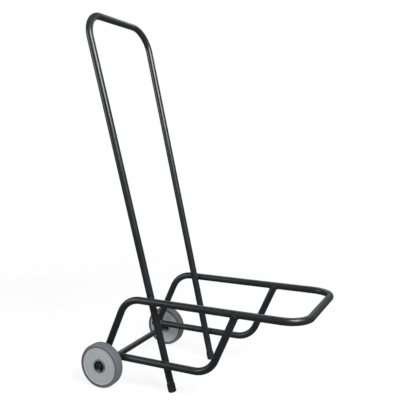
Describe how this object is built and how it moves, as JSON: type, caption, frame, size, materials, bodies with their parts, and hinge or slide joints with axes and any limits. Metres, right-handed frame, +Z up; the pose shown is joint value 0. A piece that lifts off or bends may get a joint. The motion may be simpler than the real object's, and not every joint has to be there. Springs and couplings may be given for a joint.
{
  "type": "luggage cart",
  "caption": "Hand cart of welded bent tube with a tall hairpin handle, an open loop platform for luggage, wheels at the back and capped feet ahead of them.",
  "frame": {"origin": "on the floor, under the middle of the cart's overall box", "axes": "+X forward from the wheels to the front bar, +Y to the cart's left, +Z up"},
  "size_m": [0.8198, 0.5134, 1.33],
  "materials": {
    "frame_tube": "gloss black powder coat",
    "weld_bead": "gloss black powder coat over weld",
    "axle_bar": "gloss black powder coat",
    "foot_cap": "satin black",
    "rail_plug": "matte black",
    "tyre": "matte grey non-marking",
    "rim": "satin light grey moulded",
    "bush": "natural nylon",
    "washer": "zinc plated",
    "clip": "black phosphate"
  },
  "bodies": {
    "frame": {"handle_frame": "frame_tube", "platform_loop": "frame_tube", "lower_rail_left": "frame_tube", "lower_rail_right": "frame_tube", "weld_beads_uprights": "weld_bead", "weld_beads_risers": "weld_bead", "weld_beads_legs": "weld_bead", "weld_beads_axle": "weld_bead", "foot_cap_left": "foot_cap", "foot_cap_right": "foot_cap", "rail_plug_left": "rail_plug", "rail_plug_right": "rail_plug", "axle": "axle_bar", "washer_outer_left": "washer", "washer_inner_left": "washer", "clip_outer_left": "clip", "clip_inner_left": "clip", "washer_outer_right": "washer", "washer_inner_right": "washer", "clip_outer_right": "clip", "clip_inner_right": "clip"},
    "wheel_left": {"tyre_left": "tyre", "rim_outer_left": "rim", "rim_inner_left": "rim", "bush_outer_left": "bush", "bush_inner_left": "bush"},
    "wheel_right": {"tyre_right": "tyre", "rim_outer_right": "rim", "rim_inner_right": "rim", "bush_outer_right": "bush", "bush_inner_right": "bush"}
  },
  "joints": [
    {"name": "wheel_left_spin", "type": "hinge", "parent": "frame", "child": "wheel_left", "pos_m": [-0.32787, 0.23608, 0.08], "axis": [0, 1, 0], "continuous": true},
    {"name": "wheel_right_spin", "type": "hinge", "parent": "frame", "child": "wheel_right", "pos_m": [-0.32787, -0.23608, 0.08], "axis": [0, 1, 0], "continuous": true}
  ]
}
